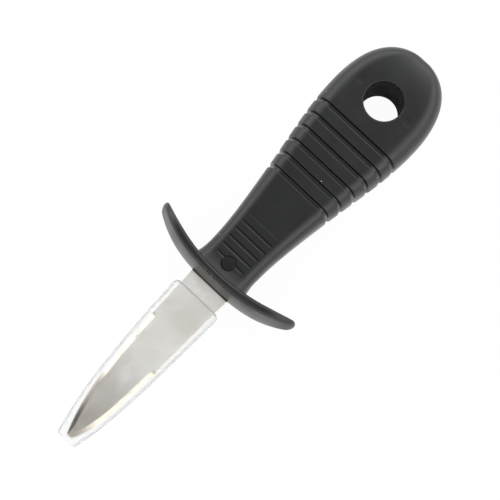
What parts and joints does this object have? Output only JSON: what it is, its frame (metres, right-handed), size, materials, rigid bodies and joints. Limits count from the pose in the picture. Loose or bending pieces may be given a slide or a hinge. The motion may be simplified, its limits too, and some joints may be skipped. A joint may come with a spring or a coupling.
{
  "type": "oyster knife",
  "caption": "Short spear-point shucking knife with a ribbed black moulded handle, crescent hand guard, hanging hole and a clear slide-off blade sheath.",
  "frame": {"origin": "middle of the hanging hole, on the plane where the two halves of the handle's mould meet", "axes": "+X along the knife from the butt to the tip, +Z out of the flat that carries the two mould marks, along the hanging hole"},
  "size_m": [0.1626, 0.0556, 0.022],
  "materials": {
    "black_plastic": "satin moulded polypropylene, near black",
    "stainless_blade": "satin stainless steel with brighter ground bevels",
    "black_pin": "satin black plastic",
    "clear_sheath": "clear glossy soft plastic"
  },
  "bodies": {
    "knife": {"handle": "black_plastic", "blade": "stainless_blade", "tang_pin": "black_pin"},
    "sheath": {"sheath": "clear_sheath"}
  },
  "joints": [
    {"name": "sheath_slide", "type": "slide", "parent": "knife", "child": "sheath", "axis": [1, 0, 0], "range_m": [0, 0.064]}
  ]
}
